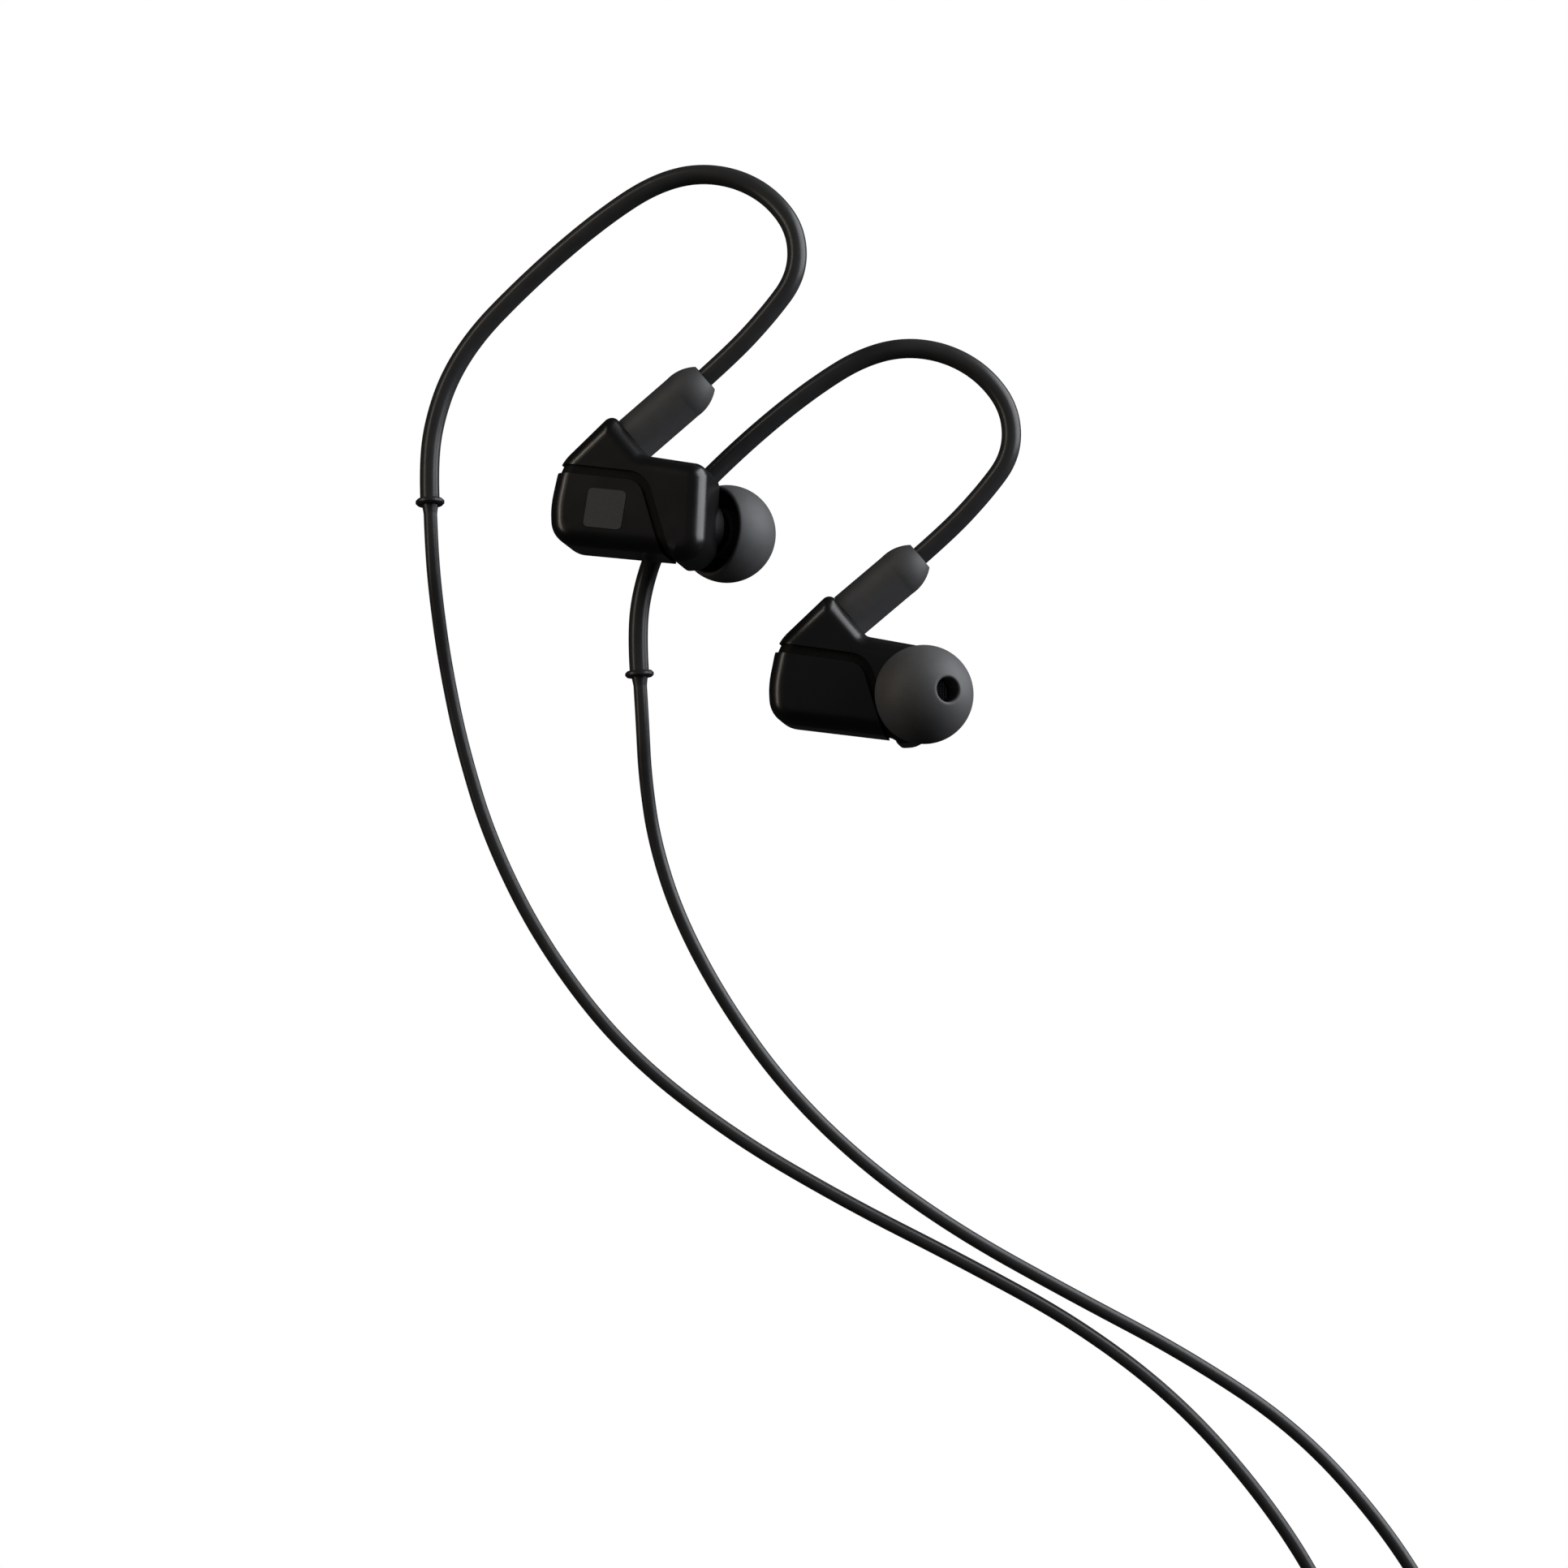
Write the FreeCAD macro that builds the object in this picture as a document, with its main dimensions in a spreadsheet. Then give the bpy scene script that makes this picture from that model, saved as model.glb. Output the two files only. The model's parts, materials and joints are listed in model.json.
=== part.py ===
"""A pair of in ear monitors, laid flat for storage: right earpiece face up, left earpiece face down.

Millimetres, +Z up. The origin is at the middle of the two earpieces, on the surface that they lie on.
Each earpiece is built in its own frame: x towards the wearer's face, y up the head, z towards the viewer.
The right earpiece shows its outer side to the viewer and the left one its inner side, so a depth that is
mirrored between the ears is multiplied by the earpiece's hand, 1 for right and -1 for left.
"""

import FreeCAD, Part
import math
import os
import re

import Sketcher
from FreeCAD import Placement, Rotation, Vector

os.makedirs("parts", exist_ok=True)
doc = FreeCAD.newDocument("in_ear_monitors")

DIMENSIONS = {
    # housing
    "housing_thick": 9.5,
    "housing_wall": 1.0,
    "housing_round": 2.2,
    "seam_width": 1.2,
    "seam_inset": 0.35,
    "badge_side": 5.0,
    "badge_corner": 0.6,
    "badge_thick": 0.4,
    "badge_proud": 0.1,
    # nozzle and tip, along the nozzle's axis from where it crosses the housing's inner face
    "nozzle_base_dia": 7.0,
    "nozzle_neck_dia": 4.3,
    "nozzle_lip_dia": 4.8,
    "lip_back_chamfer": 0.25,
    "lip_front_chamfer": 0.4,
    "nozzle_bore_dia": 3.0,
    "nozzle_root": 3.4,
    "nozzle_base_end": 0.2,
    "nozzle_neck_start": 1.5,
    "nozzle_neck_end": 5.4,
    "nozzle_end": 6.5,
    "mesh_dia": 3.5,
    "mesh_thick": 0.25,
    "mesh_recess": 0.4,
    "tip_dia": 12.5,
    "tip_skin": 0.6,
    "tip_dome_centre": 3.5,
    "tip_rim": 1.2,
    "tip_stem_dia": 6.2,
    "tip_stem_start": 1.75,
    "tip_stem_end": 7.0,
    "tip_bore_dia": 4.92,
    "tip_hole_dia": 3.1,
    # driver, behind the nozzle's root
    "driver_dia": 6.0,
    "driver_depth": 2.9,
    "driver_wall": 0.3,
    "driver_vent_dia": 0.9,
    "magnet_dia": 3.8,
    "magnet_thick": 1.3,
    "coil_inner_dia": 4.1,
    "coil_outer_dia": 4.5,
    "coil_back_gap": 0.5,
    "diaphragm_skin": 0.12,
    "diaphragm_depth": 0.9,
    "dome_rise": 0.4,
    "surround_rise": 0.3,
    "surround_offset": 0.25,
    # boot, hook, wires and collar
    "boot_dia": 6.1,
    "boot_stub_dia": 3.8,
    "boot_bore_dia": 1.9,
    "boot_taper_start": 8.0,
    "boot_length": 11.8,
    "boot_end_dia": 3.8,
    "boot_end_round": 5.2,
    "boot_seat": 6.0,
    "hook_dia": 2.5,
    "hook_bore_dia": 1.7,
    "wire_dia": 0.7,
    "wire_offset": 0.42,
    "collar_dia": 3.7,
    "collar_flange": 0.8,
    "collar_chamfer": 0.25,
    "collar_neck_dia": 2.1,
    "collar_length": 1.9,
    "collar_bore_dia": 1.56,
    # terminal board
    "board_wide": 3.2,
    "board_tall": 3.6,
    "board_thick": 0.6,
    "lead_dia": 0.3,
    "lead_spacing": 0.7,
    "lead_rise": 1.1,
    # cables and what is on them
    "branch_dia": 1.75,
    "branch_spacing": 2.3,
    "main_dia": 2.4,
    "slider_long": 9.0,
    "slider_wide": 5.8,
    "slider_tall": 3.4,
    "slider_clearance": 0.06,
    "splitter_long": 16.0,
    "splitter_wide": 6.4,
    "splitter_narrow": 4.4,
    "splitter_tall": 3.5,
    "splitter_shoulder": 6.4,
    "splitter_shoulder_round": 6.0,
    "small_round": 0.9,
    "relief_long": 6.0,
    "relief_start_dia": 3.4,
    "relief_end_dia": 2.9,
    # coil of the main cable
    "coil_mean_radius": 13.5,
    "coil_wide": 7.2,
    "coil_tall": 9.6,
    "coil_round": 2.2,
    # plug, along its axis from the grip's front face
    "plug_dia": 3.5,
    "plug_sleeve_end": 6.0,
    "plug_ring_start": 6.7,
    "plug_ring_end": 8.9,
    "plug_tip_start": 9.6,
    "plug_long": 14.0,
    "plug_core_dia": 1.6,
    "plug_pin_dia": 1.0,
    "plug_root": 3.0,
    "plug_groove_start": 10.1,
    "plug_groove_middle": 11.1,
    "plug_groove_end": 12.1,
    "plug_groove_depth": 0.55,
    "plug_point_dia": 3.4,
    "plug_nose_start": 13.85,
    "plug_nose_dia": 0.9,
    "plug_root_dia": 3.0,
    "grip_dia": 8.4,
    "grip_long": 18.0,
    "grip_hollow_dia": 4.8,
    "grip_front_chamfer": 0.8,
    "grip_front_chamfer_long": 1.6,
    "grip_back_chamfer": 0.4,
    "plug_relief_long": 10.0,
    "plug_relief_dia": 5.0,
    "plug_relief_end_dia": 3.2,
    "plug_relief_seat": 2.0,
}

sheet = doc.addObject("Spreadsheet::Sheet", "Dims")
for row, (alias, value) in enumerate(DIMENSIONS.items(), start=1):
    sheet.set(f"A{row}", alias)
    sheet.set(f"B{row}", str(value))
    sheet.setAlias(f"B{row}", alias)
doc.recompute()


# ---------------------------------------------------------------- helpers

def formula(text):
    """An expression over the dimension sheet, from one that uses the bare aliases."""
    return re.sub(r"[a-z]+(_[a-z]+)+", r"Dims.\g<0>", str(text))


def size(text):
    """The value of such an expression now."""
    return float(sheet.evalExpression(formula(text)))


def new_body(label, placement=None):
    body = doc.addObject("PartDesign::Body", label)
    body.Label = label
    body.Placement = placement or Placement()
    return body


def new_sketch(body, plane="XY_Plane", offset=None):
    """A sketch on one of the body's own origin planes, moved from it by the offset."""
    sketch = body.newObject("Sketcher::SketchObject", body.Name + "_sketch")
    origin_plane = next(item for item in body.Origin.OriginFeatures if item.Role == plane)
    sketch.AttachmentSupport = (origin_plane, "")
    sketch.MapMode = "FlatFace"
    sketch.AttachmentOffset = offset or Placement()
    return sketch


def feature(body, kind, sketch, **settings):
    """A sketch based feature. A text setting is bound to the dimension sheet, any other is set as it is."""
    made = body.newObject("PartDesign::" + kind, body.Name + "_" + kind.lower())
    if sketch is not None:
        made.Profile = sketch
    for name, setting in settings.items():
        if isinstance(setting, str):
            made.setExpression(name, formula(setting))
        else:
            setattr(made, name, setting)
    return made


def pad_both_ways(body, sketch, length):
    return feature(body, "Pad", sketch, Midplane=True, Length=length)


def cut_both_ways(body, sketch, length):
    return feature(body, "Pocket", sketch, Midplane=True, Length=length)


def round_all_edges(body, radius):
    doc.recompute()
    sharp = body.Tip
    rounding = body.newObject("PartDesign::Fillet", body.Name + "_fillet")
    rounding.Base = (sharp, ["Edge1"])
    rounding.UseAllEdges = True
    rounding.setExpression("Radius", formula(radius))
    return rounding


def add_constrained_circle(sketch, diameter, centre=(0, 0)):
    circle = Part.Circle(Vector(*centre, 0), Vector(0, 0, 1), size(diameter) / 2)
    index = sketch.addGeometry(circle)
    number = sketch.addConstraint(Sketcher.Constraint("Diameter", index, size(diameter)))
    sketch.setExpression(f"Constraints[{number}]", formula(diameter))
    for name, value in zip(("DistanceX", "DistanceY"), centre):
        if value:
            sketch.addConstraint(Sketcher.Constraint(name, -1, 1, index, 3, value))
        else:
            axis = -2 if name == "DistanceX" else -1
            sketch.addConstraint(Sketcher.Constraint("PointOnObject", index, 3, axis))


def bulging_arc(start, end, radius):
    """The short arc from start to end that bows to the right of the way from start to end."""
    chord = end - start
    side = Vector(chord.y, -chord.x, 0).normalize()
    rise = radius - math.sqrt(radius ** 2 - (chord.Length / 2) ** 2)
    return Part.Arc(start, (start + end) / 2 + side * rise, end)


def add_constrained_profile(sketch, corners, arcs=None):
    """A closed profile whose corners are pairs of expressions. arcs gives the radius of the arc that leaves a
    corner, by the corner's number, for a profile drawn anticlockwise."""
    arcs = arcs or {}
    points = [Vector(size(across), size(up), 0) for across, up in corners]
    count = len(points)
    for number, start in enumerate(points):
        end = points[(number + 1) % count]
        if number in arcs:
            sketch.addGeometry(bulging_arc(start, end, size(arcs[number])))
        else:
            sketch.addGeometry(Part.LineSegment(start, end))
    for number, corner in enumerate(corners):
        sketch.addConstraint(Sketcher.Constraint("Coincident", number, 2, (number + 1) % count, 1))
        for name, axis, text in (("DistanceX", -2, corner[0]), ("DistanceY", -1, corner[1])):
            if size(text) == 0:
                sketch.addConstraint(Sketcher.Constraint("PointOnObject", number, 1, axis))
                continue
            made = sketch.addConstraint(Sketcher.Constraint(name, -1, 1, number, 1, size(text)))
            sketch.setExpression(f"Constraints[{made}]", formula(text))
    for number, radius in arcs.items():
        made = sketch.addConstraint(Sketcher.Constraint("Radius", number, size(radius)))
        sketch.setExpression(f"Constraints[{made}]", formula(radius))


def turned(label, placement, corners, arcs=None):
    """A body turned about its own Z axis from a profile of (radius, height) pairs."""
    body = new_body(label, placement)
    sketch = new_sketch(body, "XZ_Plane")
    add_constrained_profile(sketch, corners, arcs)
    feature(body, "Revolution", sketch, ReferenceAxis=(sketch, ["V_Axis"]), Angle=360.0)
    return body


def rounded_corner(before, corner, after, radius):
    """The points where an arc of this radius leaves both sides of a corner, and the arc's middle."""
    back = (before - corner).normalize()
    ahead = (after - corner).normalize()
    half = back.getAngle(ahead) / 2
    to_tangent = radius / math.tan(half)
    to_middle = radius / math.sin(half) - radius
    middle = corner + (back + ahead).normalize() * to_middle
    return corner + back * to_tangent, middle, corner + ahead * to_tangent


def add_outline(sketch, corners):
    """A closed outline of straight sides. Each corner is (x, y, radius), with radius 0 where it is sharp."""
    points = [Vector(x, y, 0) for x, y, radius in corners]
    count = len(points)
    starts = []
    ends = []
    for number, (x, y, radius) in enumerate(corners):
        corner = points[number]
        if radius == 0:
            starts.append(corner)
            ends.append(corner)
            continue
        following = points[(number + 1) % count]
        enter, middle, leave = rounded_corner(points[number - 1], corner, following, radius)
        sketch.addGeometry(Part.Arc(enter, middle, leave))
        starts.append(enter)
        ends.append(leave)
    for number in range(count):
        sketch.addGeometry(Part.LineSegment(ends[number], starts[(number + 1) % count]))


def moved_inwards(corners, distance):
    """The outline, drawn anticlockwise, with every side moved inwards by the distance."""
    moved = []
    count = len(corners)
    for number, (x, y, radius) in enumerate(corners):
        corner = Vector(x, y, 0)
        before = Vector(*corners[number - 1][:2], 0)
        after = Vector(*corners[(number + 1) % count][:2], 0)
        incoming = (corner - before).normalize()
        outgoing = (after - corner).normalize()
        inward = Vector(-incoming.y - outgoing.y, incoming.x + outgoing.x, 0)
        inward = inward * (2 * distance / inward.Length ** 2)
        turns_left = incoming.cross(outgoing).z > 0
        new_radius = radius - distance if turns_left else radius + distance
        point = corner + inward
        moved.append((point.x, point.y, max(new_radius, 0)))
    return moved


def along(start, direction):
    """A placement at start whose Z axis points along the direction."""
    return Placement(start, Rotation(Vector(0, 0, 1), direction))


ARC_SHARE = 0.45  # how much of the shorter run each rounded corner of a route takes


def route_pieces(points):
    """The straight runs and tangent arcs of a route, and the arcs' radii."""
    vectors = [Vector(*point) for point in points]
    pieces = []
    radii = []
    last = vectors[0]
    for before, corner, after in zip(vectors, vectors[1:], vectors[2:]):
        half_turn = (corner - before).getAngle(after - corner) / 2
        shorter = min((corner - before).Length, (after - corner).Length)
        radius = ARC_SHARE * shorter / math.tan(half_turn)
        enter, middle, leave = rounded_corner(before, corner, after, radius)
        pieces.append(Part.LineSegment(last, enter))
        pieces.append(Part.Arc(enter, middle, leave))
        radii.append(radius)
        last = leave
    pieces.append(Part.LineSegment(last, vectors[-1]))
    return pieces, radii


def free_tube(label, points, diameter, placement=None):
    """A plain round tube along a route in space. Prints its length and its tightest arc."""
    pieces, radii = route_pieces(points)
    wire = Part.Wire([piece.toShape() for piece in pieces])
    start = Vector(*points[0])
    circle = Part.Circle(start, Vector(*points[1]) - start, diameter / 2)
    section = Part.Wire([circle.toShape()])
    solid = wire.makePipeShell([section], True, False)
    share = solid.Volume / (math.pi * diameter ** 2 / 4 * wire.Length)
    print(f"{label}: length {wire.Length:.1f} mm, tightest arc {min(radii):.1f} mm, volume share {share:.4f}")
    piece = doc.addObject("Part::Feature", label)
    piece.Label = label
    piece.Shape = solid
    piece.Placement = placement or Placement()
    return piece


def bent_tube(label, placement, route, outer, bore=None, depth=0.0):
    """A body swept along a flat route in its own XY plane, raised by depth."""
    body = new_body(label, placement)
    spine = new_sketch(body, offset=Placement(Vector(0, 0, depth), Rotation()))
    pieces, _ = route_pieces([(x, y, 0) for x, y in route])
    for piece in pieces:
        spine.addGeometry(piece)
    start = Vector(*route[0], depth)
    towards = Vector(route[1][0] - route[0][0], route[1][1] - route[0][1], 0)
    section = new_sketch(body, offset=along(start, towards))
    add_constrained_circle(section, outer)
    if bore:
        add_constrained_circle(section, bore)
    doc.recompute()
    pipe = body.newObject("PartDesign::AdditivePipe", label + "_pipe")
    pipe.Profile = section
    pipe.Spine = (spine, [f"Edge{number + 1}" for number in range(len(pieces))])
    return body


# ---------------------------------------------------------------- the housing's outline and seam

# Housing seen from the side, anticlockwise: sharp corners, each with its rounding.
HOUSING_OUTLINE = [
    (-10.3, -4.3, 3.4),   # bottom rear
    (4.4, -6.5, 1.5),     # the bottom steps down at the seam
    (5.9, -7.5, 1.0),
    (9.6, -7.4, 3.0),     # bottom front
    (10.1, 4.7, 2.0),     # top front
    (2.1, 6.4, 1.5),      # foot of the boot
    (-2.5, 12.15, 1.0),   # peak over the boot
    (-9.4, 5.9, 6.0),     # rear shoulder
    (-10.6, 0.4, 12.0),   # slight bulge of the rear end
]

# Middle line of the seam, from beyond the rear end to below the bottom, and the radius of its corner.
SEAM_LINE = [(-13.0, 5.85), (2.0, 3.3), (5.6, -9.0)]
SEAM_CORNER = 3.0
SEAM_FAR = 16.0  # well outside the housing


def seam_side(offset, upper):
    """The area on one side of the seam line, whose edge is moved by offset towards the upper front."""
    start, corner, end = (Vector(*point, 0) for point in SEAM_LINE)
    first = (corner - start).normalize()
    second = (end - corner).normalize()
    first_normal = Vector(-first.y, first.x, 0)
    second_normal = Vector(-second.y, second.x, 0)
    middle = first_normal + second_normal
    middle = middle * (2 * offset / middle.Length ** 2)
    points = [start + first_normal * offset, corner + middle, end + second_normal * offset]
    edge = [(point.x, point.y, radius) for point, radius in zip(points, (0, SEAM_CORNER + offset, 0))]
    if upper:
        return edge + [(SEAM_FAR, edge[2][1], 0), (SEAM_FAR, SEAM_FAR, 0), (edge[0][0], SEAM_FAR, 0)]
    return edge + [(edge[0][0], edge[2][1], 0)]


# ---------------------------------------------------------------- one earpiece

# The boot stands square on the housing's face between its foot and the peak, a share of the way up.
BOOT_FOOT = Vector(*HOUSING_OUTLINE[5][:2], 0)
BOOT_PEAK = Vector(*HOUSING_OUTLINE[6][:2], 0)
BOOT_SHARE = 0.53
BOOT_BASE = BOOT_FOOT + (BOOT_PEAK - BOOT_FOOT) * BOOT_SHARE
BOOT_WAY = Vector(BOOT_PEAK.y - BOOT_FOOT.y, BOOT_FOOT.x - BOOT_PEAK.x, 0).normalize()

# Nozzle: where its axis crosses the housing's inner face, and how far it turns forward of straight inward.
NOZZLE_X = 7.7
NOZZLE_Y = -1.8
NOZZLE_TURN = 36.0

# Hook in the earpiece's own plane, from the boot's mouth over the ear and down behind it to the collar.
HOOK_FROM_MOUTH = [
    (17.2, 24.6),
    (20.9, 29.4),
    (20.9, 35.2),
    (17.6, 40.0),
    (12.8, 43.0),
    (7.2, 44.0),
    (1.6, 42.7),
    (-4.2, 39.3),
    (-10.2, 34.9),
    (-16.2, 29.8),
    (-21.6, 24.6),
    (-25.3, 19.0),
    (-27.3, 12.8),
    (-27.8, 7.4),
    (-27.6, 3.2),
]
HOOK_STRAIGHT = 15.6  # from the boot's base to the hook's first bend

BADGE_CENTRE = (-2.9, -0.6)
BADGE_TURN = -9.0
BOARD_CENTRE = (-5.2, 4.6)
LEAD_STARTS = ((-4.9, 3.4), (-4.1, 3.4))  # solder points on the board, x and y
LEAD_CORNER = (3.2, -2.6)                  # where the leads turn down to the driver, from their starts
LEAD_OFF_AXIS = -0.8                       # middle of the two solder points on the driver's back, in y
LEAD_BACK = 1.2                            # length of the leads' last, straight run
WIRE_START = 1.0                           # the memory wire starts this far out of the boot's base
CORE_START = -5.0                          # the core wires start inside the housing, over the board


def on_boot_axis(distance):
    return BOOT_BASE + BOOT_WAY * distance


def shell(label, placement, hand, drop_upper):
    """One hollow half of the housing, open along the seam. The upper front half carries boot and nozzle."""
    body = new_body(label, placement)
    outline = new_sketch(body)
    add_outline(outline, HOUSING_OUTLINE)
    pad_both_ways(body, outline, "housing_thick")
    round_all_edges(body, "housing_round")
    half_seam = size("seam_width") / 2
    other_side = new_sketch(body)
    add_outline(other_side, seam_side(-half_seam if drop_upper else half_seam, drop_upper))
    cut_both_ways(body, other_side, "housing_thick * 2")
    cavity = new_sketch(body)
    add_outline(cavity, moved_inwards(HOUSING_OUTLINE, size("housing_wall")))
    cut_both_ways(body, cavity, "housing_thick - 2 * housing_wall")
    nozzle_hole(body, hand)
    if drop_upper:
        turn = Rotation(Vector(0, 0, 1), BADGE_TURN)
        face = hand * size("housing_thick") / 2
        recess = new_sketch(body, offset=Placement(Vector(*BADGE_CENTRE, face), turn))
        half = size("badge_side") / 2
        add_outline(recess, rounded_square(half, size("badge_corner")))
        cut_both_ways(body, recess, "2 * (badge_thick - badge_proud)")
        return body
    boot_hole = new_sketch(body, offset=along(on_boot_axis(0), BOOT_WAY))
    add_constrained_circle(boot_hole, "boot_stub_dia")
    cut_both_ways(body, boot_hole, "4 * housing_wall")
    return body


def nozzle_hole(body, hand):
    """The round opening in which the nozzle's base sits. Its circle starts a quarter turn from the seam."""
    quarter_turn = Placement(Vector(), Rotation(Vector(0, 0, 1), 90))
    hole = new_sketch(body, offset=nozzle_place(hand) * quarter_turn)
    add_constrained_circle(hole, "nozzle_base_dia")
    cut_both_ways(body, hole, "2 * nozzle_root")


def rounded_square(half, corner):
    return [(-half, -half, corner), (half, -half, corner), (half, half, corner), (-half, half, corner)]


def seam_gasket(label, placement, hand):
    """The recessed band between the shells: a slice of a slightly smaller housing."""
    inset = size("seam_inset")
    half_seam = size("seam_width") / 2
    body = new_body(label, placement)
    outline = new_sketch(body)
    add_outline(outline, moved_inwards(HOUSING_OUTLINE, inset))
    pad_both_ways(body, outline, "housing_thick - 2 * seam_inset")
    round_all_edges(body, "housing_round - seam_inset")
    for upper, offset in ((True, half_seam), (False, -half_seam)):
        side = new_sketch(body)
        add_outline(side, seam_side(offset, upper))
        cut_both_ways(body, side, "housing_thick * 2")
    cavity = new_sketch(body)
    add_outline(cavity, moved_inwards(HOUSING_OUTLINE, size("housing_wall")))
    cut_both_ways(body, cavity, "housing_thick - 2 * housing_wall")
    nozzle_hole(body, hand)
    return body


def nozzle_place(hand):
    """The nozzle's axis in the earpiece's frame: Z points out of the ear tip."""
    turn = math.radians(NOZZLE_TURN)
    start = Vector(NOZZLE_X, NOZZLE_Y, -hand * size("housing_thick") / 2)
    return along(start, Vector(math.sin(turn), 0, -hand * math.cos(turn)))


def ear_tip(label, placement):
    """Silicone tip: a hollow dome around a stem, from spheres and cylinders on one axis."""
    def solid(kind, suffix, height, **sizes):
        made = doc.addObject("Part::" + kind, f"{label}_{suffix}")
        for name, text in sizes.items():
            made.setExpression(name, formula(text))
        made.Placement.Base = Vector(0, 0, size(height))
        return made

    rim_angle = "-asin((tip_dome_centre - tip_rim) / (tip_dia / 2))"
    dome = solid("Sphere", "dome", "tip_dome_centre", Radius="tip_dia / 2", Angle1=rim_angle)
    hollow = solid("Sphere", "hollow", "tip_dome_centre", Radius="tip_dia / 2 - tip_skin")
    stem = solid("Cylinder", "stem", "tip_stem_start", Radius="tip_stem_dia / 2",
                 Height="tip_dome_centre + tip_dia / 2 - tip_skin - tip_stem_start")
    bore = solid("Cylinder", "bore", "tip_rim - 1", Radius="tip_bore_dia / 2",
                 Height="tip_stem_end - tip_rim + 1")
    hole = solid("Cylinder", "hole", "tip_rim - 1", Radius="tip_hole_dia / 2", Height="tip_dia * 2")
    skin = doc.addObject("Part::Cut", label + "_skin")
    skin.Base = dome
    skin.Tool = hollow
    stem_core = doc.addObject("Part::Common", label + "_stem_core")
    stem_core.Base = stem
    stem_core.Tool = solid("Sphere", "limit", "tip_dome_centre", Radius="tip_dia / 2 - tip_skin / 2")
    body_of_tip = doc.addObject("Part::Fuse", label + "_whole")
    body_of_tip.Base = skin
    body_of_tip.Tool = stem_core
    passage = doc.addObject("Part::Fuse", label + "_passage")
    passage.Base = bore
    passage.Tool = hole
    tip = doc.addObject("Part::Cut", label)
    tip.Label = label
    tip.Base = body_of_tip
    tip.Tool = passage
    tip.Placement = placement
    return tip


def nozzle_and_driver(side, place):
    """What sits on the nozzle's axis, from the mesh in its mouth back to the driver."""
    half = "{} / 2".format
    turned(f"{side}_nozzle", place, [
        (half("nozzle_bore_dia"), "-nozzle_root"),
        (half("nozzle_base_dia"), "-nozzle_root"),
        (half("nozzle_base_dia"), "nozzle_base_end"),
        (half("nozzle_neck_dia"), "nozzle_neck_start"),
        (half("nozzle_neck_dia"), "nozzle_neck_end"),
        (half("nozzle_lip_dia"), "nozzle_neck_end + lip_back_chamfer"),
        (half("nozzle_lip_dia"), "nozzle_end - lip_front_chamfer"),
        (half("nozzle_neck_dia"), "nozzle_end"),
        (half("mesh_dia"), "nozzle_end"),
        (half("mesh_dia"), "nozzle_end - mesh_recess"),
        (half("nozzle_bore_dia"), "nozzle_end - mesh_recess"),
    ])
    turned(f"{side}_nozzle_mesh", place, [
        ("0", "nozzle_end - mesh_recess"),
        (half("mesh_dia"), "nozzle_end - mesh_recess"),
        (half("mesh_dia"), "nozzle_end - mesh_recess + mesh_thick"),
        ("0", "nozzle_end - mesh_recess + mesh_thick"),
    ])
    back = "-nozzle_root - driver_depth"
    turned(f"{side}_driver_frame", place, [
        (half("driver_vent_dia"), back),
        (half("driver_dia"), back),
        (half("driver_dia"), "-nozzle_root"),
        ("driver_dia / 2 - driver_wall", "-nozzle_root"),
        ("driver_dia / 2 - driver_wall", back + " + driver_wall"),
        (half("driver_vent_dia"), back + " + driver_wall"),
    ])
    magnet_back = back + " + driver_wall"
    turned(f"{side}_driver_magnet", place, [
        (half("driver_vent_dia"), magnet_back),
        (half("magnet_dia"), magnet_back),
        (half("magnet_dia"), magnet_back + " + magnet_thick"),
        (half("driver_vent_dia"), magnet_back + " + magnet_thick"),
    ])
    rest = "-nozzle_root - diaphragm_depth"
    turned(f"{side}_voice_coil", place, [
        (half("coil_inner_dia"), magnet_back + " + coil_back_gap"),
        (half("coil_outer_dia"), magnet_back + " + coil_back_gap"),
        (half("coil_outer_dia"), rest),
        (half("coil_inner_dia"), rest),
    ])
    turned(f"{side}_driver_diaphragm", place, [
        ("0", rest + " + dome_rise"),
        (half("coil_inner_dia"), rest),
        (half("coil_outer_dia"), rest),
        ("coil_outer_dia / 2 + surround_offset", rest + " + surround_rise"),
        ("driver_dia / 2 - driver_wall", rest),
        ("driver_dia / 2 - driver_wall", rest + " + diaphragm_skin"),
        ("coil_outer_dia / 2 + surround_offset", rest + " + surround_rise + diaphragm_skin"),
        (half("coil_outer_dia"), rest + " + diaphragm_skin"),
        (half("coil_inner_dia"), rest + " + diaphragm_skin"),
        ("0", rest + " + dome_rise + diaphragm_skin"),
    ])


def badge(label, ear, hand):
    """A plain rounded plate, set in a shallow recess of the rear shell's outer face."""
    inside = size("badge_thick - badge_proud")
    start = hand * (size("housing_thick") / 2 - inside / 2 + size("badge_proud") / 2)
    local = Placement(Vector(*BADGE_CENTRE, start), Rotation(Vector(0, 0, 1), BADGE_TURN))
    body = new_body(label, ear * local)
    sketch = new_sketch(body)
    add_outline(sketch, rounded_square(size("badge_side") / 2, size("badge_corner")))
    pad_both_ways(body, sketch, "badge_thick")


def cable_boot(label, ear):
    turned(label, ear * along(BOOT_BASE, BOOT_WAY), [
        ("boot_bore_dia / 2", "-housing_wall"),
        ("boot_stub_dia / 2", "-housing_wall"),
        ("boot_stub_dia / 2", "0"),
        ("boot_dia / 2", "0"),
        ("boot_dia / 2", "boot_taper_start"),
        ("boot_end_dia / 2", "boot_length"),
        ("hook_dia / 2", "boot_length"),
        ("hook_dia / 2", "boot_length - boot_seat"),
        ("boot_bore_dia / 2", "boot_length - boot_seat"),
    ], arcs={4: "boot_end_round"})


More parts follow.
